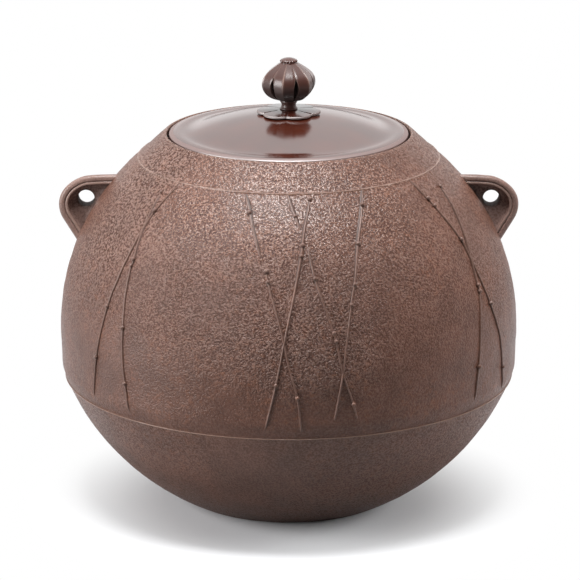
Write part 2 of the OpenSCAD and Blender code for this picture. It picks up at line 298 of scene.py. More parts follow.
def bevelled(path):
    """An outline with every corner between its ends cut off."""
    rows = [path[0]]
    for before, corner, after in zip(path, path[1:], path[2:]):
        for other in (before, after):
            share = BEVEL / math.dist(corner, other)
            rows.append(tuple(c + (o - c) * share for c, o in zip(corner, other)))
    return rows + [path[-1]]


print("a quarter round:", [(round(r, 2), round(z, 2)) for r, z in arc((0, 0), 1, 0, 90, 3)])

# %% Mesh helpers
def make_piece(name, points, faces, edges=()):
    mesh = bpy.data.meshes.new(name)
    mesh.from_pydata([tuple(p) for p in points], edges, faces)
    return add_object(name, mesh)


def settle(piece, sharp):
    """Turns all faces outwards and shades a piece smoothly up to an angle in degrees."""
    shape = bmesh.new()
    shape.from_mesh(piece.data)
    bmesh.ops.recalc_face_normals(shape, faces=shape.faces)
    shape.to_mesh(piece.data)
    shape.free()
    piece.data.shade_smooth()
    piece.data.set_sharp_from_angle(angle=math.radians(sharp))
    return piece


def turned_points(rows, segments, closed):
    """Points, faces and row members of a figure of revolution; rows are (radius, height) in millimetres."""
    points, index, faces = [], [], []
    angles = [2 * math.pi * k / segments for k in range(segments)]
    for r, z in rows:
        if r == 0:
            index.append([len(points)] * segments)
            points.append((0.0, 0.0, z * MM))
        else:
            index.append(list(range(len(points), len(points) + segments)))
            points += [(r * MM * math.cos(a), r * MM * math.sin(a), z * MM) for a in angles]
    for low, high in zip(index, index[1:] + (index[:1] if closed else [])):
        for k in range(segments):
            n = (k + 1) % segments
            faces.append(list(dict.fromkeys((low[k], low[n], high[n], high[k]))))
    return points, faces, index


print("a turned square has", len(turned_points([(1, 0), (1, 1)], 4, False)[1]), "faces")

# %% Putting a piece on its body
def put(piece, body, finish, slot, *nodes):
    """Gives a piece its finish and its body and hides the solids it stands for; the slot is not used."""
    piece.data.materials.clear()
    piece.data.materials.append(finish.block)
    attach(piece, body)
    for node in nodes:
        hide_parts(node)
    triangles = sum(len(p.vertices) - 2 for p in piece.data.polygons)
    print(f"{piece.name}: {triangles} triangles on {body}")


def mark(piece, name, values):
    """Keeps one number for each point of a piece, for its finish to read."""
    layer = piece.data.attributes.new(name, "FLOAT", "POINT")
    layer.data.foreach_set("value", np.asarray(values, np.float32))


# %% [markdown]
# ## Cast-iron finish
# The body was cast in clay and left with a pebbled skin, then browned with rust and lacquer. Up close it is
# a field of grains about a millimetre wide, dark between the grains, with orange specks. Noises of different
# scale feed the colour and one bump. Crests are painted paler, partly their tone and partly a painted
# highlight, and hollows darker, partly patina and partly painted shade. Each piece can carry five numbers
# per point for it: how coarse and how large the grain is there, how far hands have polished it, which also
# adds to the painted highlight, where an edge is painted bright as rubbed wear and a painted highlight, and
# how much painted shade it takes, which darkens inside faces and recesses. A number that a piece doesn't
# carry counts as 0.

# %% Cast iron
# Crest colour, partly a painted highlight; hollow colour, partly painted shade; rubbed colour, partly a
# painted highlight; and the colour of the painted shade on inside faces.
CREST_HIGHLIGHT_INK, HOLLOW_INK = ink(166, 136, 123), ink(62, 29, 15)
RUBBED_HIGHLIGHT_INK, PAINTED_SHADE_INK = ink(186, 160, 147), ink(46, 31, 26)
IRON_IOR = 1.55


def iron_finish(name, pale, deep, rust, grain_height):
    f = Finish(name)
    place = f.node("ShaderNodeTexCoord").at("Object")
    marks = ("inside", "worn", "coarse", "polish", "large")
    inside, worn, coarse, polish, large = (f.carried(label) for label in marks)
    broad = f.noise(place, 15.0, 2.0, 0.5)
    cloud = f.noise(place, 60.0, 4.0, 0.6)
    grain = f.noise(place, 960.0, 2.0, 0.55)
    pits = f.noise(place, 1750.0, 1.0, 0.5)
    speck = f.noise(place, 330.0, 4.0, 0.65)
    lumps = f.noise(place, 880.0, 2.0, 0.6)
    coarse = coarse * (0.75 + 0.5 * f.fade(broad, 0.36, 0.6))
    pebble = f.fade(grain, 0.28, 0.72) * 0.65 + f.fade(pits, 0.28, 0.72) * 0.35
    pebble = pebble * (1 - 0.7 * large) + f.fade(lumps, 0.36, 0.64) * 0.7 * large
    hollow = 1 - f.fade(pebble, 0.22, 0.54)
    crest_highlight = f.fade(pebble, 0.48, 0.78)
    base = f.mix(f.fade(cloud, 0.32, 0.68), deep, pale)
    base = f.mix(f.fade(speck, 0.5, 0.68) * f.fade(broad, 0.4, 0.56) * 0.4, base, rust)
    # Crests are mixed towards a pale grey, partly the grain's tone and partly a painted highlight, most
    # where the skin is polished.
    base = f.mix(crest_highlight * (0.06 + 0.2 * coarse + 0.22 * polish + 0.1 * large), base, CREST_HIGHLIGHT_INK)
    # Hollows are mixed towards a dark brown, partly patina in the pits and partly painted shade.
    base = f.mix(hollow * (0.2 + 0.45 * coarse + 0.3 * polish + 0.1 * large), base, HOLLOW_INK)
    # Marked edges are mixed towards a pale colour, partly rubbed wear and partly a painted highlight.
    base = f.mix(worn * 0.6, base, RUBBED_HIGHLIGHT_INK)
    # Marked inside faces and recesses are mixed towards a dark colour, a painted shade.
    base = f.mix(inside * 0.75, base, PAINTED_SHADE_INK)
    rough = 0.38 + 0.1 * (cloud - 0.5) - 0.23 * polish - 0.08 * worn + 0.4 * inside
    rough = rough + 0.35 * hollow * (coarse + 0.6 * polish)
    height = (pebble + 0.5 * speck * (1 - polish)) * (0.3 + 0.7 * coarse)
    height = height * (1 - 0.47 * polish) * (1 - 0.6 * worn)
    bump = f.node("ShaderNodeBump", None, {"Strength": 1.0, "Distance": grain_height, "Height": height})
    f.output(f.node("ShaderNodeBsdfPrincipled", None, {
        "Base Color": base, "Roughness": rough, "Metallic": 0.0, "Normal": bump, "IOR": IRON_IOR}))
    return f


print("iron colours:", [round(c, 3) for c in CREST_HIGHLIGHT_INK[:3]], "on crests,",
      [round(c, 3) for c in HOLLOW_INK[:3]], "in hollows")

# %% [markdown]
# ## Upper shell
# The upper body is a true sphere that ends in an almost upright band and a soft corner at the hip. A thin
# raised line runs round the shoulder, and above it a straight neck rises to the lip of the mouth. The dents
# of the casting are moved into the mesh itself, so that the outline is slightly uneven too.

# %% Body outline
shell_low, shell_high = corners("upper_shell")
bowl_high = corners("bottom_bowl")[1]
lid_low, lid_high = corners("lid_dome")
BODY_R, MOUTH_Z = shell_high.y, shell_high.z
SEAM_R, SEAM_Z = bowl_high.x, corners("seam_lacquer")[0].z
BELLY_Z, BAND_Z, HIP_Z = 90.5, 84.5, 72.0
HIP_R, HIP_ROUND = BODY_R - 0.4, 2.2
BAND_R = math.sqrt(BODY_R ** 2 - (BELLY_Z - BAND_Z) ** 2)


def plain_radius(z):
    """Outside radius at a height: seam to hip, an almost upright band, then the sphere."""
    if z >= BAND_Z:
        return math.sqrt(BODY_R ** 2 - (z - BELLY_Z) ** 2)
    return float(np.interp(z, (SEAM_Z, HIP_Z, BAND_Z), (SEAM_R, HIP_R, BAND_R)))


def body_radius(z):
    """The same with the corner at the hip rounded."""
    if abs(z - HIP_Z) > HIP_ROUND:
        return plain_radius(z)
    return float(np.mean([plain_radius(z + d) for d in np.linspace(-HIP_ROUND, HIP_ROUND, 9)]))


def outward(p, centre_z):
    """Direction from a point on the axis, at a height in millimetres, to p."""
    return Vector((p.x, p.y, p.z - centre_z * MM)).normalized()


def cast_dent(p):
    """How far the casting stands out of its plain shape at a point, in metres."""
    return (0.20 * noise.noise(p * 95) + 0.12 * noise.noise(p * 240 + Vector((7, 3, 1)))) * MM


print("radius at hip and belly:", round(body_radius(HIP_Z), 2), round(body_radius(BELLY_Z), 2))

# %% [markdown]
# The skin isn't the same everywhere. It is coarse at the middle of the front and at the left, finer in a
# band above the hip, polished at the upper front, where its crests also carry more painted highlight, and
# made of larger lumps at the shoulders beside it. Each of these is a smooth step in height and in bearing,
# so no edge shows where one turns into the other.

# %% Where the skin is coarse
def rise(x, start, end):
    """Goes smoothly from 0 at start to 1 at end."""
    x = min(1.0, max(0.0, (x - start) / (end - start)))
    return x * x * (3 - 2 * x)


def bearing(p):
    """Degrees to the right of the middle of the front, or of the back for a point behind."""
    return math.degrees(math.atan2(p.x, abs(p.y))) * (1 if p.y < 0 else -1)


def left_share(side):
    """1 in the left third of the front, 0 at the right and at the lugs, where front and back meet."""
    return rise(-side, 12, 27) * (1 - rise(-side, 66, 88))


def skin_numbers(p):
    """How coarse the skin is at a point, how far it is polished, which also weights a painted highlight, and
    how large its grain is, each 0 to 1.
    """
    side, z = bearing(p), p.z / MM
    front = math.exp(-((side - 8) / 30) ** 2)
    beside = rise(abs(side), 32, 54)
    coarse = (0.6 + 0.4 * max(front, left_share(side))) * (0.25 + 0.75 * rise(z + 22 * front, 98, 128))
    polish = rise(z, 138, 170) * (1 - 0.85 * beside)
    large = rise(z, 118, 148) * beside * (0.6 + 0.4 * left_share(side))
    return coarse, polish, large


front_middle = Vector((0, -BODY_R, BELLY_Z)) * MM
print("skin at the middle of the front:", [round(n, 2) for n in skin_numbers(front_middle)])

# %% Shell outline
WALL, LACQUER = 4.0, 0.6
LIP_ROUND, LIP_WIDTH = 0.67, 1.2
MOUTH_R = lid_high.x + 1.1
LEDGE_R, LEDGE_Z, LEDGE_T = MOUTH_R - 6.5, MOUTH_Z - 5.2, 3.2
LAP_R, LAP_Z = SEAM_R - WALL / 2 + LACQUER, bowl_high.z + LACQUER
SHOULDER_R = 77.0
SHOULDER_Z = BELLY_Z + math.sqrt(BODY_R ** 2 - SHOULDER_R ** 2)
SHOULDER = math.degrees(math.acos(SHOULDER_R / BODY_R))
LINE_HEIGHT, LINE_WIDTH, LINE_REACH = 0.5, 0.45, 1.3
LINE_OUT, LINE_UP = 0.68, 0.73
neck_foot, neck_top = Vector((SHOULDER_R, SHOULDER_Z)), Vector((MOUTH_R + LIP_WIDTH, MOUTH_Z))
neck = (neck_top - neck_foot).length


def near_shoulder(way):
    """A point of the outline that lies way millimetres above the shoulder line, or below it."""
    if way < 0:
        spot = arc((0, BELLY_Z), BODY_R, SHOULDER + math.degrees(way / BODY_R), SHOULDER, 2)[0]
    else:
        spot = neck_foot.lerp(neck_top, way / neck)
    lift = LINE_HEIGHT * math.exp(-(way / LINE_WIDTH) ** 2)
    return (spot[0] + LINE_OUT * lift, spot[1] + LINE_UP * lift)


def wall_radius(z):
    """Radius of the shell's inner wall."""
    return math.sqrt((BODY_R - WALL) ** 2 - (z - BELLY_Z) ** 2)


body_rows = [(body_radius(z), z) for z in np.linspace(shell_low.z, BAND_Z, 20)]
body_rows += arc((0, BELLY_Z), BODY_R, -2.4, SHOULDER - 0.75, 100)
line_rows = [near_shoulder(way) for way in np.linspace(-LINE_REACH, LINE_REACH, 9)]
neck_rows = [near_shoulder(way) for way in np.linspace(2.2, neck - 0.8, 14)]
lip_rows = arc((MOUTH_R + LIP_ROUND, MOUTH_Z - LIP_ROUND), LIP_ROUND, 20, 170, 5)
ledge_under = LEDGE_Z - LEDGE_T
inner_rows = bevelled([(MOUTH_R, (MOUTH_Z + LEDGE_Z) / 2), (MOUTH_R, LEDGE_Z), (LEDGE_R, LEDGE_Z),
                       (LEDGE_R, ledge_under), (wall_radius(ledge_under) - BEVEL, ledge_under)])
inner_rows += [(wall_radius(z), z) for z in np.linspace(ledge_under - BEVEL, LAP_Z + BEVEL, 22)]
inner_rows += [(LAP_R, LAP_Z), (LAP_R, shell_low.z + BEVEL / 2), (LAP_R + BEVEL / 2, shell_low.z)]
shell_rows = body_rows + line_rows + neck_rows + lip_rows + inner_rows
print("shell rows:", len(shell_rows), "lip at", round(MOUTH_Z, 2), "ledge at", round(LEDGE_Z, 2))

# %% Shell mesh
SEGMENTS = 512
line_start = len(body_rows)
line_end = line_start + len(line_rows)
skin_end = line_end + len(neck_rows)
lip_end = skin_end + len(lip_rows)
# The foot of the shell, the shoulder line and the lip are painted lighter, as rubbed wear and a painted
# highlight on raised edges.
row_wear_highlight = np.zeros(len(shell_rows))
row_wear_highlight[0] = 0.25
row_wear_highlight[line_start + 3:line_start + 6] = (0.35, 1.0, 0.35)
row_wear_highlight[skin_end:lip_end] = 0.12
points, faces, index = turned_points(shell_rows, SEGMENTS, True)
shell_marks = {label: np.zeros(len(points)) for label in ("coarse", "polish", "large", "inside", "worn")}
for row, members in enumerate(index):
    shell_marks["worn"][members] = row_wear_highlight[row]
    # Rows past the lip are the inner faces; they get a full painted shade.
    if row >= lip_end:
        shell_marks["inside"][members] = 1.0
        continue
    # The dents fade out over a few rows towards the seam and the lip.
    dented = min(1.0, row / 6, (skin_end - 1 - row) / 4)
    for m in members:
        p = Vector(points[m])
        for label, number in zip(("coarse", "polish", "large"), skin_numbers(p)):
            shell_marks[label][m] = number
        if line_start <= row < line_end:
            shell_marks["worn"][m] *= 0.75 + 0.6 * noise.noise(p * 160)
        if dented > 0:
            points[m] = tuple(p + outward(p, BELLY_Z) * cast_dent(p) * dented)
shell = settle(make_piece("cast_shell", points, faces), 50)
for label, values in shell_marks.items():
    mark(shell, label, values)
cast_skin = iron_finish("cast_iron_skin", ink(106, 70, 56), ink(90, 57, 44), ink(136, 82, 52), 0.5 * MM)
put(shell, "kettle", cast_skin, "cast_iron", "upper_shell")

# %% [markdown]
# ## Bottom bowl
# The lower body is part of a larger sphere that ends in a flat stand. It takes the heat, so its skin is worn
# finer and darker than the upper body's. A spigot on its rim goes up inside the shell.

# %% Bowl outline
BASE_R, FLOOR_T, EDGE_Z = 54.0, 4.0, 1.6
BOWL_Z = (SEAM_R ** 2 + SEAM_Z ** 2 - BASE_R ** 2) / (2 * SEAM_Z)
BOWL_R = math.hypot(BASE_R, BOWL_Z)
SPIGOT_R, SPIGOT_Z, SPIGOT_FOOT = SEAM_R - WALL / 2, bowl_high.z, SEAM_Z - 1


def bowl_radius(z, depth=0.0):
    """Radius of the bowl's sphere at a height, or of one that lies deeper by the wall."""
    return math.sqrt((BOWL_R - depth) ** 2 - (z - BOWL_Z) ** 2)


spigot_in, hollow_top = bowl_radius(SPIGOT_FOOT, WALL), SPIGOT_FOOT - 1
base_rows = [(r, 0) for r in (0, BASE_R / 3, BASE_R * 2 / 3, BASE_R - 5, BASE_R - 1.5)]
base_rows += [(BASE_R + 0.2, 0.15), (BASE_R + 1.6, 0.7)]
side_rows = [(bowl_radius(z), z) for z in EDGE_Z + (SEAM_Z - EDGE_Z) * np.linspace(0, 1, 74) ** 1.25]
spigot_rows = bevelled([(SPIGOT_R, SEAM_Z), (SPIGOT_R, SPIGOT_Z), (spigot_in, SPIGOT_Z),
                        (spigot_in, SPIGOT_FOOT)])
hollow_rows = [(bowl_radius(z, WALL), z)
               for z in hollow_top - (hollow_top - FLOOR_T) * np.linspace(0, 0.998, 20) ** 0.8]
floor_rows = [(r, FLOOR_T) for r in (BASE_R - 1.4, BASE_R * 2 / 3, BASE_R / 3, 0)]
bowl_rows = base_rows + side_rows + spigot_rows + hollow_rows + floor_rows
print("bowl sphere of", round(BOWL_R, 1), "mm round a point at", round(BOWL_Z, 1))

# %% Bowl mesh
BOWL_SEGMENTS, BOWL_DENT = 448, 0.6
side_start, side_end = len(base_rows), len(base_rows) + len(side_rows)
points, faces, index = turned_points(bowl_rows, BOWL_SEGMENTS, False)
# The bowl's inner faces get a full painted shade.
bowl_inner_shade = np.zeros(len(points))
for row, members in enumerate(index):
    bowl_inner_shade[members] = 1.0 if row >= side_end else 0.0
    dented = min(1.0, (row - side_start) / 6, (side_end - 1 - row) / 6)
    if dented > 0:
        for m in members:
            p = Vector(points[m])
            points[m] = tuple(p + outward(p, BOWL_Z) * cast_dent(p) * BOWL_DENT * dented)
bowl = settle(make_piece("cast_bowl", points, faces), 50)
mark(bowl, "inside", bowl_inner_shade)
mark(bowl, "coarse", 0.55 * (1 - bowl_inner_shade))
bowl_skin = iron_finish("bowl_iron_skin", ink(110, 75, 62), ink(94, 63, 51), ink(130, 80, 52), 0.25 * MM)
put(bowl, "kettle", bowl_skin, "cast_iron", "bottom_bowl")

# %% [markdown]
# ## Seam line
# Where bowl and shell meet, a little lacquer filled with iron powder stands out as a fine line. It was wiped
# by hand, so its edge wavers slightly.

# %% Seam bead
BEAD_R, BEAD_OUT, BEAD_WAVER = 0.27, 0.38, 0.14
bead_z, bead_foot = (SEAM_Z + shell_low.z) / 2, SPIGOT_R + 0.3
bead_low, bead_high = bead_z - BEAD_R, bead_z + BEAD_R
seam_rows = [(bead_foot, bead_low), (SEAM_R, bead_low)]
seam_rows += arc((SEAM_R + BEAD_OUT, bead_z), BEAD_R, -90, 90, 6) + [(bead_foot, bead_high)]
points, faces, index = turned_points(seam_rows, SEGMENTS, True)
# The bead's crest is painted lighter, as rubbed wear and a painted highlight.
rubbed_highlight = np.zeros(len(points))
for members in index[2:-1]:
    rubbed_highlight[members] = 0.55
    for m in members:
        p = Vector(points[m])
        points[m] = tuple(p + outward(p, p.z / MM) * BEAD_WAVER * MM * noise.noise(p * 60))
seam = settle(make_piece("seam_bead", points, faces), 60)
mark(seam, "worn", rubbed_highlight)
seam_skin = iron_finish("seam_lacquer_skin", ink(122, 84, 66), ink(100, 68, 53), ink(150, 90, 54), 0.1 * MM)
put(seam, "kettle", seam_skin, "lacquer", "seam_lacquer")

# %% [markdown]
# ## Lugs
# Each lug is an ear with a double-banded rim, dished towards an eye for the lifting ring. The surface is
# laid out as a chain of closed loops that goes out of the eye, up the dish, over the two bands of the rim,
# down the outside and back into the eye from behind. Loops that would run into the body follow a sphere just
# under its skin, which gives the lug its root. Both lugs lie a little behind the kettle's axis, so that from
# the front they come out from behind the body's edge.

# %% Lug loops
eye = next(m for m in frame["record"]["mounts"] if m["name"] == "right_lug_eye")
EYE_X, LUG_SET, EYE_Z = (c / MM for c in eye["pos_m"])
EYE_R = eye["dims"]["r_mm"]
lug_low, lug_high = corners("right_lug")
LUG_R = 15.5
LUG_X, LUG_Z = lug_high.x - LUG_R, lug_high.z - LUG_R
LUG_FRONT, LUG_BACK = LUG_SET - lug_low.y, lug_high.y - LUG_SET
LUG_UP = LUG_Z - BELLY_Z
ROOT_R, ROOT_STEP = BODY_R - 1.2, 0.05
SLOPE = math.radians(31)
FLATTER, FLATTER_AT, FLATTER_WIDTH = 0.076, 60, 38
LEAST_COSINE, TO_THE_BODY = 0.02, 50
LOOP = 132
LOOP_TURNS = [2 * math.pi * k / LOOP - math.pi / 2 - SLOPE for k in range(LOOP)]


def lug_loop(r, forward):
    """A loop of the lug's outline, r out of its centre, in a plane that lies forward of its middle."""
    y = LUG_SET - forward
    loop = []
    for a in LOOP_TURNS:
        dx, dz = math.cos(a), math.sin(a)
        reach = r * (1 - FLATTER * math.exp(-((math.degrees(a) - FLATTER_AT) / FLATTER_WIDTH) ** 2))
        if math.pi / 2 < a < math.pi:
            reach = reach / max(dz, LEAST_COSINE)
        elif a < -SLOPE:
            reach = r / max(math.cos(a + SLOPE), LEAST_COSINE)
        elif a >= math.pi:
            reach = TO_THE_BODY * r
        along = LUG_X * dx + LUG_UP * dz
        free = along ** 2 - (LUG_X ** 2 + LUG_UP ** 2 - (ROOT_R - ROOT_STEP * r) ** 2 + y ** 2)
        if along < 0 and free > 0:
            reach = min(reach, -along - math.sqrt(free))
        loop.append((LUG_X + reach * dx, y, LUG_Z + reach * dz))
    return loop


def eye_loop(r, forward):
    return [(EYE_X + r * math.cos(a), LUG_SET - forward, EYE_Z + r * math.sin(a)) for a in LOOP_TURNS]


def between(a, b, share, forward):
    """A loop at a share of the way from loop a to loop b, laid flat in its own plane."""
    return [(p[0] + (q[0] - p[0]) * share, LUG_SET - forward, p[2] + (q[2] - p[2]) * share)
            for p, q in zip(a, b)]


print("lug middle at", round(LUG_X, 2), round(LUG_SET, 2), round(LUG_Z, 2), "eye radius", EYE_R)

# %% Rim of a lug
DISH_R, GROOVE_R, NECK_R = 10.6, 12.25, 12.2
RIM_ROUND, BACK_ROUND = 1.9, 1.5
inner_band = arc((DISH_R + 0.6, LUG_FRONT - 0.65), 0.6, 160, 90, 4)
inner_band += arc((GROOVE_R - 0.65, LUG_FRONT - 0.6), 0.55, 90, 20, 3)
groove = [(GROOVE_R, LUG_FRONT - 0.6), (GROOVE_R + 0.1, LUG_FRONT - 0.65)]
outer_band = arc((GROOVE_R + 0.8, LUG_FRONT - 0.7), 0.7, 170, 90, 4)
outer_band += arc((LUG_R - RIM_ROUND, LUG_FRONT - RIM_ROUND), RIM_ROUND, 80, 0, 6)
flank = [(NECK_R + (LUG_R - NECK_R) * rise(forward, -3.8, 7.2) ** 1.8, forward)
         for forward in np.linspace(6.4, -3.4, 8)]
flank += arc((NECK_R - BACK_ROUND, BACK_ROUND - LUG_BACK), BACK_ROUND, 0, -90, 4)


def rim_loops(section):
    return [lug_loop(r, forward) for r, forward in section]


print("rim of a lug:", len(inner_band + groove + outer_band + flank), "loops")

# %% Dish and eye of a lug
EYE_STRAIGHT, EYE_ROUND = 4.0, 0.6
DISH_FLOOR, DISH_RISE, DISH_EDGE = 5.0, 1.5, 8.2
BACK_DIP = 0.8
eye_front = eye_loop(EYE_R + EYE_ROUND, DISH_FLOOR)
eye_back = eye_loop(EYE_R + BACK_DIP, BACK_DIP - LUG_BACK)
dish_edge, back_edge = lug_loop(DISH_R + 0.15, DISH_EDGE), lug_loop(*flank[-1])
hole = [eye_loop(EYE_R, 0.0), eye_loop(EYE_R, EYE_STRAIGHT),
        eye_loop(EYE_R + EYE_ROUND / 5, EYE_STRAIGHT + EYE_ROUND), eye_front]
dish = [between(eye_front, dish_edge, s, DISH_FLOOR + DISH_RISE * s ** 2)
        for s in (0.12, 0.25, 0.4, 0.55, 0.7, 0.82, 0.9)]
dish += [lug_loop(DISH_R, DISH_EDGE - 0.9), dish_edge]


def back_loop(share):
    return between(back_edge, eye_back, share, BACK_DIP * share ** 1.5 - LUG_BACK)


back = [back_loop(share) for share in (0.25, 0.5)]
back_hole = [back_loop(share) for share in (0.75, 0.92, 1.0)]
back_hole += [eye_loop(EYE_R + BACK_DIP / 4, -EYE_STRAIGHT - 0.7), eye_loop(EYE_R, -EYE_STRAIGHT)]
# Each stretch of the lug: its loops, how far it is painted bright as rubbed wear and a painted highlight,
# how much painted shade it takes, and how coarse.
LUG_STRETCHES = [
    (hole, 0.0, 0.8, 0.6),
    (dish, 0.0, 0.32, 0.6),
    (rim_loops(inner_band), 0.35, 0.0, 0.2),
    (rim_loops(groove), 0.0, 0.0, 0.2),
    (rim_loops(outer_band), 0.08, 0.0, 0.2),
    (rim_loops(flank), 0.0, 0.0, 0.2),
    (back, 0.0, 0.0, 0.2),
    (back_hole, 0.0, 0.8, 0.2),
]
lug_loops = [loop for stretch in LUG_STRETCHES for loop in stretch[0]]
print("loops of a lug:", len(lug_loops))

# %% Lug meshes
LUG_DENT = 0.5


def loop_faces(count):
    """Faces of a chain of loops whose last loop joins the first."""
    faces = []
    for i in range(count):
        j = (i + 1) % count
        for k in range(LOOP):
            n = (k + 1) % LOOP
            faces.append((i * LOOP + k, i * LOOP + n, j * LOOP + n, j * LOOP + k))
    return faces


def lug_piece(name, side):
    points = []
    for x, y, z in (p for loop in lug_loops for p in loop):
        p = Vector((side * x, y, z)) * MM
        points.append(p + Vector((0, 1, 0.6)) * cast_dent(p) * LUG_DENT)
    piece = settle(make_piece(name, points, loop_faces(len(lug_loops))), 55)
    for column, label in enumerate(("worn", "inside", "coarse"), 1):
        mark(piece, label, np.concatenate([np.full(len(stretch[0]) * LOOP, stretch[column])
                                           for stretch in LUG_STRETCHES]))
    return piece


lug_skin = iron_finish("lug_iron_skin", ink(138, 111, 103), ink(122, 97, 89), ink(134, 100, 84), 0.2 * MM)
for name, side, node in (("ear_right", 1, "right_lug"), ("ear_left", -1, "left_lug")):
    put(lug_piece(name, side), "kettle", lug_skin, "lug_iron", node)

# %% [markdown]
# ## Relief stems
# Thin stems with small knots are cast into the front, sides and back of the body, an old grass motif. Each
# path is a row of places on the body with a mark at its knots, and the back repeats the front. Geometry
# Nodes follow the paths with a tapering tube and set a small bead on every knot; the ends run down into the
# skin. The stems are a paler iron than the body, a painted highlight on the raised lines. The same tree
# makes a dark swelling at the root of each stem, a painted shade along its edges: a thicker tube that lies
# almost wholly under the skin.

# %% Stem paths
# Each place is degrees to the right of the front, height in millimetres, and 1 at a knot.
FRONT_STEMS = [
    [(-16, 179, 0), (-13, 172, 1), (-8, 154, 0)],
    [(-6, 147.5, 1), (-5.5, 143, 1), (-3, 128.5, 0), (-1.5, 118, 0), (0, 104, 0), (2, 88, 1), (3, 70.5, 0)],
    [(7.5, 177.5, 1), (5, 166.5, 0), (4, 159, 1), (3.5, 154.5, 1), (1, 134, 0), (-1, 116, 0),
     (-3, 94.5, 1), (-5.5, 72.5, 0)],
    [(-0.5, 179.5, 0), (2, 171, 1), (3.5, 165.5, 0)],
    [(5.5, 158, 0), (7, 144.5, 1), (9, 132, 0), (11, 119.5, 1), (11.5, 115.5, 1), (13, 99.5, 0),
     (15.5, 83.5, 1), (16.5, 76, 0)],
    [(28.5, 180, 0), (25.5, 174, 1), (20.5, 158.5, 1), (17.5, 141, 1), (16, 132, 1), (14, 113, 0),
     (13, 99.5, 0), (11, 76, 0)],
    [(-44, 179.5, 0), (-47.5, 167, 1), (-49.5, 146.5, 0), (-52, 120.5, 1), (-54.5, 93.5, 1),
     (-56.5, 72, 0)],
    [(-50, 174.5, 1), (-47, 145, 1), (-47, 142, 1), (-46, 125.5, 0), (-45, 113, 1), (-44.5, 101.5, 0),
     (-43.5, 85, 1), (-42.5, 70.5, 0)],
    [(51, 179.5, 0), (53, 171, 1), (54, 167.5, 1), (57.5, 150.5, 1), (59, 134.5, 0), (61.5, 117.5, 1),
     (65, 96.5, 0), (66.5, 81.5, 1), (68, 69.5, 0)],
    [(64.5, 173, 1), (62.5, 161.5, 0), (58.5, 141, 0), (57.5, 128.5, 1), (57.5, 125.5, 1), (55, 107, 0),
     (53.5, 89, 1), (52.5, 71.5, 0)],
]
STEP = 1.1


def on_body(angle, z, sink):
    """A point on the body's skin or under it; the angle is counted from the front towards the right."""
    r, a = body_radius(z) - sink, math.radians(angle)
    p = Vector((r * math.sin(a), -r * math.cos(a), z)) * MM
    return p + outward(p, BELLY_Z) * cast_dent(p)


def smooth_path(stem):
    """Points about a step apart through the stem's places, as a Catmull-Rom curve, with knot flags."""
    path = []
    for i in range(len(stem) - 1):
        p0, p1, p2, p3 = (Vector(stem[min(max(n, 0), len(stem) - 1)][:2]) for n in range(i - 1, i + 3))
        count = max(3, int(abs(p2.y - p1.y) / STEP))
        for k in range(count):
            t = k / count
            bend = (2 * p0 - 5 * p1 + 4 * p2 - p3) * t + (3 * p1 - p0 - 3 * p2 + p3) * t ** 2
            spot = p1 + 0.5 * t * (p2 - p0 + bend)
            path.append((spot.x, spot.y, stem[i][2] if k == 0 else 0))
    path.append(stem[-1])
    return path


print("stems:", 2 * len(FRONT_STEMS), "first path:", len(smooth_path(FRONT_STEMS[0])), "points")

# %% Stem points
STEM_LIFT, ROOT_SINK, END_SINK, END_LENGTH = 0.22, 1.46, 0.6, 5.0
stem_points, root_points, stem_edges, knots, girth = [], [], [], [], []
for stem in FRONT_STEMS:
    path = smooth_path(stem)
    for half_turn in (0, 180):
        for i, (angle, z, knot) in enumerate(path):
            if i:
                stem_edges.append((len(stem_points) - 1, len(stem_points)))
            share = i / (len(path) - 1)
            end = 1 - min(1.0, abs(z - path[0][1]) / END_LENGTH, abs(z - path[-1][1]) / END_LENGTH)
            spot = on_body(angle + half_turn, z, END_SINK * end ** 2 - STEM_LIFT)
            uneven = 0.97 + 0.15 * noise.noise(spot * 45)
            taper = 0.55 + 0.45 * math.sin(math.pi * min(share * 1.6 + 0.1, 0.62))
            stem_points.append(spot)
            girth.append(taper * uneven)
            knots.append(float(knot))
            root_points.append(on_body(angle + half_turn, z, ROOT_SINK * girth[-1] + END_SINK * end ** 2))
print("stem points:", len(stem_points), "knots:", int(sum(knots)))

# %% Geometry Nodes helper
class Shaper:
    """A Geometry Nodes tree with named inputs, written in the same short way as a finish."""

    def __init__(self, name, inputs):
        self.tree = bpy.data.node_groups.new(name, "GeometryNodeTree")
        self.keys = {}
        self.tree.interface.new_socket("Geometry", in_out="INPUT", socket_type="NodeSocketGeometry")
        for label, kind in inputs:
            socket = self.tree.interface.new_socket(label, in_out="INPUT", socket_type=kind)
            self.keys[label] = socket.identifier
        self.tree.interface.new_socket("Geometry", in_out="OUTPUT", socket_type="NodeSocketGeometry")
        self.given = self.tree.nodes.new("NodeGroupInput")

    def get(self, label):
        return self.given.outputs[label]

    def node(self, kind, settings=None, sockets=None, out=None):
        made = add_node(self.tree, kind, settings, sockets)
        return next(s for s in made.outputs if s.identifier == out) if out else made.outputs[0]

    def finish(self, geometry):
        whole = self.node("GeometryNodeRealizeInstances", None, {"Geometry": geometry})
        dressed = self.node("GeometryNodeSetMaterial", None,
                            {"Geometry": whole, "Material": self.get("Finish")})
        end = self.tree.nodes.new("NodeGroupOutput")
        self.tree.links.new(dressed, end.inputs[0])

    def shape(self, piece, **values):
        """Runs the tree on a piece and leaves a plain mesh behind."""
        modifier = piece.modifiers.new(self.tree.name, "NODES")
        modifier.node_group = self.tree
        for label, value in values.items():
            modifier[self.keys[label.replace("_", " ")]] = value
        piece.update_tag()
        whole = piece.evaluated_get(bpy.context.evaluated_depsgraph_get())
        mesh = bpy.data.meshes.new_from_object(whole)
        piece.modifiers.clear()
        piece.data = mesh


print("geometry helper ready")

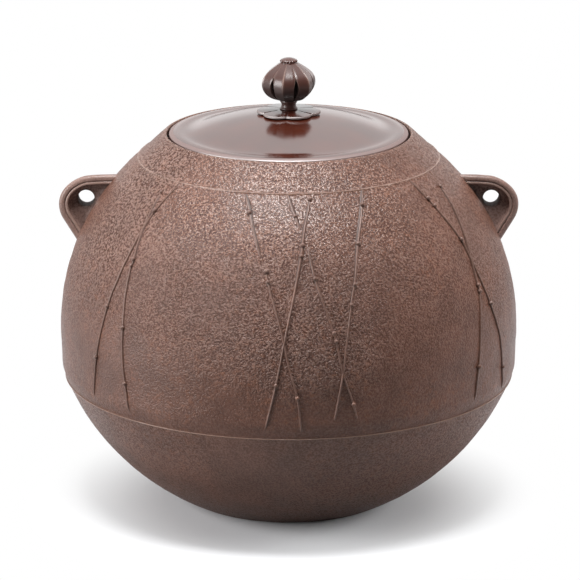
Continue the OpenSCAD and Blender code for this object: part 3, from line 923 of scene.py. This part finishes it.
# %% Tree for stems and knots
relief = Shaper("relief_stems", [("Stem Radius", "NodeSocketFloat"), ("Knot Radius", "NodeSocketFloat"),
                                 ("Knot Lift", "NodeSocketFloat"), ("Seed", "NodeSocketInt"),
                                 ("Finish", "NodeSocketMaterial")])
line = relief.node("GeometryNodeMeshToCurve", None, {"Mesh": relief.get("Geometry")})
ring = relief.node("GeometryNodeCurvePrimitiveCircle", None,
                   {"Resolution": 8, "Radius": relief.get("Stem Radius")})
thick = relief.node("GeometryNodeInputNamedAttribute", {"data_type": "FLOAT"}, {"Name": "girth"})
tube = relief.node("GeometryNodeCurveToMesh", None,
                   {"Curve": line, "Profile Curve": ring, "Scale": thick, "Fill Caps": True})
flag = relief.node("GeometryNodeInputNamedAttribute", {"data_type": "FLOAT"}, {"Name": "knot"})
chosen = relief.node("FunctionNodeCompare", {"data_type": "FLOAT", "operation": "GREATER_THAN"},
                     {0: flag, 1: 0.5})
spots = relief.node("GeometryNodeMeshToPoints", None,
                    {"Mesh": relief.get("Geometry"), "Selection": chosen})
lift = relief.node("ShaderNodeVectorMath", {"operation": "SUBTRACT"},
                   {0: relief.node("GeometryNodeInputPosition"), 1: (0, 0, BELLY_Z * MM)})
lift = relief.node("ShaderNodeVectorMath", {"operation": "NORMALIZE"}, {0: lift})
lift = relief.node("ShaderNodeVectorMath", {"operation": "SCALE"},
                   {0: lift, "Scale": relief.get("Knot Lift")})
spots = relief.node("GeometryNodeSetPosition", None, {"Geometry": spots, "Offset": lift})
bead = relief.node("GeometryNodeMeshIcoSphere", None,
                   {"Radius": relief.get("Knot Radius"), "Subdivisions": 2})
vary = relief.node("FunctionNodeRandomValue", {"data_type": "FLOAT"},
                   {"Min_001": 0.8, "Max_001": 1.2, "Seed": relief.get("Seed")}, "Value_001")
beads = relief.node("GeometryNodeInstanceOnPoints", None,
                    {"Points": spots, "Instance": bead, "Scale": vary})
both = relief.tree.nodes.new("GeometryNodeJoinGeometry")
for part in (tube, beads):
    relief.tree.links.new(part, both.inputs[0])
relief.finish(relief.node("GeometryNodeSetShadeSmooth", None, {"Geometry": both.outputs[0]}))
print("relief tree:", len(relief.tree.nodes), "nodes")

# %% Stems, their knots and their roots
STEM_R, KNOT_R, KNOT_LIFT, ROOT_TUBE_R = 0.58 * MM, 1.1 * MM, 0.5 * MM, 1.6 * MM
KNOT_SEED = 4


def relief_piece(name, places, radius, knot_radius, flags, skin, shade):
    piece = make_piece(name, places, [], stem_edges)
    mark(piece, "knot", flags)
    mark(piece, "girth", girth)
    relief.shape(piece, Stem_Radius=radius, Knot_Radius=knot_radius, Knot_Lift=KNOT_LIFT, Seed=KNOT_SEED,
                 Finish=skin.block)
    mark(piece, "inside", [shade] * len(piece.data.vertices))
    put(piece, "kettle", skin, "cast_iron")


# Stems in a paler iron than the body, a painted highlight; their roots in a dark iron with some painted
# shade, a painted shade along each stem.
stem_highlight_skin = iron_finish("stem_iron_skin", ink(116, 88, 78), ink(100, 74, 64), ink(134, 90, 66), 0.1 * MM)
root_shade_skin = iron_finish("stem_root_skin", ink(84, 55, 44), ink(70, 45, 35), ink(104, 62, 40), 0.1 * MM)
relief_piece("relief_stems", stem_points, STEM_R, KNOT_R, knots, stem_highlight_skin, 0.0)
relief_piece("stem_roots", root_points, ROOT_TUBE_R, 0.0, [0.0] * len(knots), root_shade_skin, 0.3)

# %% [markdown]
# ## Bronze finishes
# Lid and knob are bronze with a dark red-brown patina, waxed to a gloss. What is seen on them is mostly the
# white room, mirrored without any tint, and where something dark is mirrored the red-brown shows. A dark
# base colour under a strong clear reflection gives that; a plain metal would tint the mirror image. A cloudy
# patina and edges painted lighter, partly as rubbed wear and partly as a painted highlight, keep it from
# looking like plastic. The knob's wax is thickest on its upper half, where it is handled, so it is a coat
# that fades out below and in the hollows; there, and on the stem, the colour is painted darker as well, a
# painted shade.

# %% Bronze
# Colour of the painted shade on the knob's hollow, its lower half and its stem.
SHADE_INK = ink(14, 7, 6)
WAX_ROUGHNESS = 0.32


def bronze_finish(name, pale, deep, rub_highlight, roughness, edge_roughness, gloss, wax=0.0):
    f = Finish(name)
    place = f.node("ShaderNodeTexCoord").at("Object")
    edge, inside = f.carried("edge"), f.carried("inside")
    cloud = f.noise(place, 42.0, 4.0, 0.6)
    haze = f.noise(place, 210.0, 3.0, 0.6)
    fine = f.noise(place, 2400.0, 2.0, 0.5)
    base = f.mix(f.fade(cloud, 0.32, 0.68), deep, pale)
    base = f.mix(f.fade(haze, 0.55, 0.75) * 0.35, base, deep)
    # Marked edges go towards the rub colour, as rubbed wear and a painted highlight; marked places towards
    # the shade colour, a painted shade.
    base = f.mix(edge * 0.7, base, rub_highlight)
    base = f.mix(inside * 0.8, base, SHADE_INK)
    rough = roughness + 0.08 * (cloud - 0.5) + 0.05 * haze
    rough = rough + (edge_roughness - roughness) * edge + 0.25 * inside
    bump = f.node("ShaderNodeBump", None,
                  {"Strength": 0.2, "Distance": 0.06 * MM, "Height": fine + 2.0 * haze})
    f.output(f.node("ShaderNodeBsdfPrincipled", None, {
        "Base Color": base, "Roughness": rough, "Metallic": 0.0, "Normal": bump, "IOR": gloss,
        "Coat Weight": wax * (1 - inside) if wax else 0.0, "Coat Roughness": WAX_ROUGHNESS}))
    return f


lid_bronze = bronze_finish("lid_bronze_patina", ink(80, 36, 23), ink(66, 28, 18), ink(92, 50, 40),
                           roughness=0.14, edge_roughness=0.42, gloss=3.15)
seat_bronze = bronze_finish("seat_bronze_patina", ink(64, 28, 19), ink(52, 22, 15), ink(84, 56, 48),
                            roughness=0.1, edge_roughness=0.6, gloss=3.3)
knob_bronze = bronze_finish("knob_bronze_patina", ink(82, 49, 42), ink(63, 36, 30), ink(180, 152, 140),
                            roughness=0.32, edge_roughness=0.26, gloss=1.42, wax=0.9)
print("bronze finishes:", [b.block.name for b in (lid_bronze, seat_bronze, knob_bronze)])

# %% [markdown]
# ## Lid
# A shallow dome runs down into a narrow cove and up to a rounded rim. On a mirror-like surface the slope is
# what the eye reads, because it decides which part of the room is mirrored where. So the profile is written
# as slopes at a few radii, and the heights are added up from the top. Underneath, a skirt centres the lid in
# the mouth.

# %% Lid profile
LID_R, LID_TOP, LID_Z = lid_high.x, lid_high.z + 1.26, LEDGE_Z + 0.1
PIN_HOLE_R = 2.58
RIM_START, EASE, EASE_END = 59.0, 1.4, 60
# Radius in millimetres and the fall there in degrees.
SLOPES = [(0, 0), (30, 12), (40, 17), (45.5, 20.5), (48.5, 17.5), (51.2, 8), (53.2, 0), (54.8, -4),
          (56.2, 0), (58, 7), (59.4, 15), (60.5, 24), (60.9, 36), (61.08, 58), (LID_R, 82)]


def fall_at(r):
    """Degrees of fall at a radius, with the sign turned on the far side of the axis."""
    return np.interp(np.abs(r), *zip(*SLOPES)) * np.sign(r)


reach = np.concatenate([np.linspace(0, 44, 45), np.linspace(44.4, EASE_END, 40),
                        np.linspace(60.1, LID_R, 12)])
eased = np.mean([fall_at(np.minimum(reach + d, EASE_END)) for d in np.linspace(-EASE, EASE, 15)], axis=0)
lean = np.radians(np.where(reach < RIM_START, eased, fall_at(reach)))
drop = np.concatenate([[0], np.cumsum(np.diff(reach) * np.tan((lean[1:] + lean[:-1]) / 2))])
top_rows = [(PIN_HOLE_R, LID_TOP)] + [(r, LID_TOP - d) for r, d in zip(reach, drop) if r > PIN_HOLE_R]
print("lid edge at", round(LID_TOP - drop[-1], 2), "mm, its underside at", round(LID_Z, 2))

# %% Lid mesh
SKIRT_R, SKIRT_T, SKIRT_Z = LEDGE_R - 1, 2.4, lid_low.z
UNDER_TOP, UNDER_R = LID_Z + 12.0, 151.46
LID_SEGMENTS = 320
skirt_in = SKIRT_R - SKIRT_T
under_rows = [(r, UNDER_TOP - UNDER_R + math.sqrt(UNDER_R ** 2 - r ** 2))
              for r in np.linspace(skirt_in, PIN_HOLE_R, 23)]
rim_rows = [(LID_R, LID_Z + 1.6 * BEVEL), (LID_R - BEVEL / 2, LID_Z + BEVEL / 3),
            (LID_R - 1.5 * BEVEL, LID_Z), (SKIRT_R + BEVEL, LID_Z)]
skirt_rows = bevelled([(SKIRT_R, LID_Z - BEVEL / 2), (SKIRT_R, SKIRT_Z), (skirt_in, SKIRT_Z), under_rows[0]])
lid_rows = top_rows + rim_rows + skirt_rows + under_rows[1:]
points, faces, index = turned_points(lid_rows, LID_SEGMENTS, True)
lid = settle(make_piece("domed_lid", points, faces), 45)
# The rim is painted a little lighter, as rubbed wear and a painted highlight.
edge = np.zeros(len(points))
for (r, _), members in zip(top_rows, index):
    edge[members] = 1.0 if r > RIM_START else 0.0
mark(lid, "edge", edge)
put(lid, "lid", lid_bronze, "lid_bronze", "lid_dome")

# %% [markdown]
# ## Petals under the knob
# The washer under the knob is a flower of six petals. One petal is modelled, and Geometry Nodes set six of
# them round the axis and join their edges, as a maker would turn one pattern about a point.

# %% Turning one part into a ring
around = Shaper("around_axis", [("Count", "NodeSocketInt"), ("Turn", "NodeSocketFloat"),
                                ("Join", "NodeSocketFloat"), ("Finish", "NodeSocketMaterial")])
seats = around.node("GeometryNodeMeshLine", None, {"Count": around.get("Count"), "Offset": (0, 0, 0)})
step = around.node("ShaderNodeMath", {"operation": "DIVIDE"}, {0: 2 * math.pi, 1: around.get("Count")})
number = around.node("GeometryNodeInputIndex")
angle = around.node("ShaderNodeMath", {"operation": "MULTIPLY_ADD"},
                    {0: number, 1: step, 2: around.get("Turn")})
spin = around.node("ShaderNodeCombineXYZ", None, {"Z": angle})
copies = around.node("GeometryNodeInstanceOnPoints", None,
                     {"Points": seats, "Instance": around.get("Geometry"), "Rotation": spin})
whole_ring = around.node("GeometryNodeRealizeInstances", None, {"Geometry": copies})
around.finish(around.node("GeometryNodeMergeByDistance", None,
                          {"Geometry": whole_ring, "Distance": around.get("Join")}))
print("ring tree:", len(around.tree.nodes), "nodes")

# %% Two skins of a part
def two_skins(rows, columns):
    """Faces of two grids of points, the second under the first, closed at their first and last rows."""
    half = rows * columns

    def grid(start):
        return [(start + i * columns + k, start + i * columns + k + 1, start + (i + 1) * columns + k + 1,
                 start + (i + 1) * columns + k) for i in range(rows - 1) for k in range(columns - 1)]

    def wall(start):
        return [(k, k + 1, half + k + 1, half + k) for k in range(start, start + columns - 1)]

    return grid(0) + [tuple(reversed(f)) for f in grid(half)] + wall(0) + wall(half - columns)


print("two skins of 3 by 3 points have", len(two_skins(3, 3)), "faces")

# %% Petal
PETALS, PETAL_TURN, PETAL_JOIN = 6, math.radians(-5), 0.02 * MM
HALF_PETAL = math.pi / PETALS
SEAT_TOP, SEAT_R, HUB_R = corners("seat_washer")[1].z, 16.3, 5.2
SEAT_FOOT, PETAL_FALL, PETAL_CROWN = SEAT_TOP - 1.61, 0.85, 0.15
CREASE, TIP_ROUND, TIP_R = 0.35, 0.3, SEAT_R / 2
ROWS, COLUMNS = 30, 31


def petal_tip(a):
    """Radius of the petal's round end at an angle off its middle."""
    middle = SEAT_R - TIP_R
    return middle * math.cos(a) + math.sqrt(TIP_R ** 2 - (middle * math.sin(a)) ** 2)


def petal_point(s, a, upper):
    """A point of the petal at share s of the way from the hole to its end."""
    r = PIN_HOLE_R + (petal_tip(a) - PIN_HOLE_R) * s
    out, side = max(0.0, (r - HUB_R) / (SEAT_R - HUB_R)), abs(a) / HALF_PETAL
    if upper:
        z = SEAT_TOP - PETAL_FALL * out + PETAL_CROWN * out * (1 - side ** 2)
        z -= CREASE * min(1, 3 * out) * max(0, (side - 0.9) / 0.1) ** 2
        z -= TIP_ROUND * max(0, (s - 0.97) / 0.03) ** 2
    else:
        z = SEAT_FOOT - 0.35 * out + 0.25 * max(0, (s - 0.95) / 0.05) ** 2
    return (r * MM * math.cos(a), r * MM * math.sin(a), z * MM)


shares = [1 - (1 - i / (ROWS - 1)) ** 1.5 for i in range(ROWS)]
turns = np.linspace(-HALF_PETAL, HALF_PETAL, COLUMNS)
petal_points = [petal_point(s, a, upper) for upper in (True, False) for s in shares for a in turns]
petals = make_piece("petal_seat", petal_points, two_skins(ROWS, COLUMNS))
# The ends of the petals are painted lighter, as rubbed wear and a painted highlight.
mark(petals, "edge", 2 * [1.0 if s > 0.98 else 0.0 for s in shares for _ in turns])
around.shape(petals, Count=PETALS, Turn=PETAL_TURN, Join=PETAL_JOIN, Finish=seat_bronze.block)
settle(petals, 35)
put(petals, "lid", seat_bronze, "knob_bronze", "seat_washer")

# %% [markdown]
# ## Bud
# The knob is a flower bud of six lobes with a keel down each and narrow slits between them, through which
# its dark hollow shows. A lobe is a curved shell with a thickness, and the same ring tree sets six of them
# round the axis. The hollow side of each lobe and the lower half of its outside are painted darker, a
# painted shade, and its keel and edges are painted lighter higher up, as rubbed wear and a painted
# highlight.

# %% Lobe shape
bud_low, bud_high = corners("knob_bud")
BUD_Z, BUD_H = bud_low.z, bud_high.z - bud_low.z
LOBES, LOBE_TURN = 6, math.radians(18)
HALF_LOBE, FACET = math.pi / LOBES, math.radians(25)
BUD_END_R, BUD_SWELL, BUD_BELLY, BUD_FOOT = 4.4, 9.75, 0.48, 0.05
LOBE_WALL, HOLLOW_R = 1.7, 2.9
SLIT_LEAST, SLIT_WIDE = 0.07, 1.45
KEEL_HEIGHT, KEEL_WIDTH = 0.16, 1.8


def bud_radius(t):
    """Radius at share t of the bud's height: round below its belly, drawn in towards the crown."""
    if t < BUD_BELLY:
        low = max(0.0, (t - BUD_FOOT) / (BUD_BELLY - BUD_FOOT))
        return BUD_END_R + BUD_SWELL * math.sqrt(1 - (1 - low) ** 2) ** 1.1
    high = (t - BUD_BELLY) / (1 - BUD_BELLY)
    return BUD_END_R + BUD_SWELL * math.cos(math.pi / 2 * high ** 1.15)


def lobe_point(t, u, wall):
    """A point of a lobe, and how much wear and painted highlight lighten its keel and edges there; u goes
    from -1 to 1 across the lobe.
    """
    full = bud_radius(t)
    slit = SLIT_LEAST + SLIT_WIDE * math.sin(math.pi * min(1, max(0, (t - 0.1) / 0.62))) ** 1.2
    a = u * (HALF_LOBE - slit / full)
    swell = max(0.0, math.sin(math.pi * t)) ** 0.6
    keel = math.exp(-(math.degrees(a) / KEEL_WIDTH) ** 2)
    r = full * math.cos(FACET) / math.cos(FACET - abs(a)) + KEEL_HEIGHT * swell * keel
    r -= 0.03 * full * swell * max(0, abs(a) / HALF_LOBE - 0.8) / 0.2
    r = max(r - wall, HOLLOW_R)
    upper = 0.15 + 0.85 * min(1.0, max(0.0, (t - 0.3) / 0.4))
    rubbed_highlight = max(0.7 * keel, 0.6 if abs(u) > 0.95 else 0.0) * upper * swell
    return (r * MM * math.cos(a), r * MM * math.sin(a), (BUD_Z + t * BUD_H) * MM), rubbed_highlight


print("bud", round(2 * bud_radius(BUD_BELLY), 1), "mm wide and", round(BUD_H, 1), "mm high")

# %% Bud mesh
LOBE_ROWS, LOBE_COLUMNS = 46, 41
heights = [0.5 - 0.5 * math.cos(math.pi * i / (LOBE_ROWS - 1)) for i in range(LOBE_ROWS)]
across = [math.copysign(abs(u) ** 1.15, u) for u in np.linspace(-1, 1, LOBE_COLUMNS)]
lobe_points, lobe_rub_highlight, lobe_painted_shade = [], [], []
for wall in (0.0, LOBE_WALL):
    for t in heights:
        for u in across:
            spot, rub_highlight = lobe_point(t, u, wall)
            lobe_points.append(spot)
            # Keel and edges are painted lighter higher up, as rubbed wear and a painted highlight; the inner
            # skin and the lower outside are painted darker, a painted shade.
            lobe_rub_highlight.append(0.0 if wall else rub_highlight)
            lobe_painted_shade.append(1.0 if wall else 0.92 * (1 - rise(t, 0.22, 0.72)))
lobe_faces = two_skins(LOBE_ROWS, LOBE_COLUMNS)
half = LOBE_ROWS * LOBE_COLUMNS
for side_column in (0, LOBE_COLUMNS - 1):
    for a in range(side_column, half - LOBE_COLUMNS, LOBE_COLUMNS):
        b = a + LOBE_COLUMNS
        lobe_faces.append((a, b, half + b, half + a))
bud = make_piece("flower_bud", lobe_points, lobe_faces)
mark(bud, "edge", lobe_rub_highlight)
mark(bud, "inside", lobe_painted_shade)
around.shape(bud, Count=LOBES, Turn=LOBE_TURN, Join=0.0, Finish=knob_bronze.block)
settle(bud, 38)
put(bud, "knob", knob_bronze, "knob_bronze", "knob_bud")

# %% [markdown]
# ## Stem and crown
# A waisted stem carries the bud, and a small toothed crown closes its top. They are turned like the lid; the
# crown's rows are pushed in and out round the axis to cut its teeth.

# %% Stem
PIN_R = 2.52
FOOT_R, WAIST_R, WAIST_FLARE, FOOT_ROUND = 4.6, 3.65, 0.68, 0.35
STEM_SEGMENTS, STEM_SHADE = 64, 0.35
stem_z = corners("knob_stem")[0].z
waist_foot, waist_top, stem_top = stem_z + 0.75, stem_z + 3.65, stem_z + 4.6
stem_rows = [(PIN_R, stem_z)] + arc((FOOT_R - FOOT_ROUND, stem_z + FOOT_ROUND), FOOT_ROUND, -90, 60, 6)
for s in np.linspace(0.08, 0.92, 8):
    stem_rows.append((WAIST_R + WAIST_FLARE * (2 * s - 1) ** 2, waist_foot + (waist_top - waist_foot) * s))
stem_rows += arc((FOOT_R - 1.4 * FOOT_ROUND, stem_top - 0.5), FOOT_ROUND, -60, 45, 4)
stem_rows += [(FOOT_R - 0.3, stem_top), (PIN_R, stem_top)]
points, faces, _ = turned_points(stem_rows, STEM_SEGMENTS, True)
stem = settle(make_piece("waisted_stem", points, faces), 40)
# The stem under the bud is painted a little darker, a painted shade.
mark(stem, "inside", [STEM_SHADE] * len(points))
put(stem, "knob", knob_bronze, "knob_bronze", "knob_stem")

# %% Crown
TEETH, TOOTH_STEPS, TOOTH_DEPTH, TOOTH_ROUND = 18, 8, 0.12, 0.45
CROWN_R, CAP_R, CAP_FOOT, CAP_TOP = 4.55, 4.1, 1.4, 2.5
crown_z = corners("knob_crown")[0].z
cap_round = (CAP_R ** 2 + (CAP_TOP - CAP_FOOT) ** 2) / (2 * (CAP_TOP - CAP_FOOT))
collar_rows = [(2.6, crown_z - 0.6), (4.6, crown_z - 0.55), (4.5, crown_z - 0.2), (4.0, crown_z),
               (4.0, crown_z + 0.2)]
tooth_rows = arc((CROWN_R - TOOTH_ROUND, crown_z + 0.75), TOOTH_ROUND, -60, 50, 4)
cap_rows = [(r, crown_z + CAP_TOP - cap_round + math.sqrt(cap_round ** 2 - r ** 2))
            for r in (CAP_R, 3.4, 2.5, 1.4, 0.6, 0)]
points, faces, index = turned_points(collar_rows + tooth_rows + cap_rows, TEETH * TOOTH_STEPS, False)
for row, depth in enumerate([TOOTH_DEPTH] * len(tooth_rows) + [TOOTH_DEPTH / 2], len(collar_rows)):
    for k, m in enumerate(index[row]):
        push = 1 - depth * (0.5 - 0.5 * math.cos(2 * math.pi * k / TOOTH_STEPS))
        x, y, z = points[m]
        points[m] = (x * push, y * push, z)
faces.append(tuple(reversed(index[0])))
crown = settle(make_piece("toothed_crown", points, faces), 40)
put(crown, "knob", knob_bronze, "knob_bronze", "knob_crown")

# %% [markdown]
# ## Hidden solids
# The sounding plates, their lacquer beds, the lower washer and the rivet have the right shape already, so
# their solids stay and only get a finish.

# %% Finishes of the hidden solids
plate_skin = iron_finish("plate_iron_skin", ink(86, 74, 68), ink(62, 52, 47), ink(120, 76, 50), 0.2 * MM)
bed_skin = iron_finish("lacquer_bed_skin", ink(92, 66, 50), ink(70, 48, 36), ink(120, 76, 46), 0.1 * MM)
hidden = {"plate_lacquer": bed_skin, "under_washer": knob_bronze, "knob_pin": knob_bronze}
hidden.update({name: plate_skin for name in frame["nodes"] if name.startswith("sounding_plate")})
for name, skin in hidden.items():
    solid = frame["nodes"][name]
    solid.data.materials.clear()
    solid.data.materials.append(skin.block)
print("kept:", sorted(hidden))

# %% [markdown]
# ## View transform
# The view transform is the plain one, so that colours come out as they are written above.

# %% Finish
bpy.context.scene.view_settings.view_transform = "Standard"
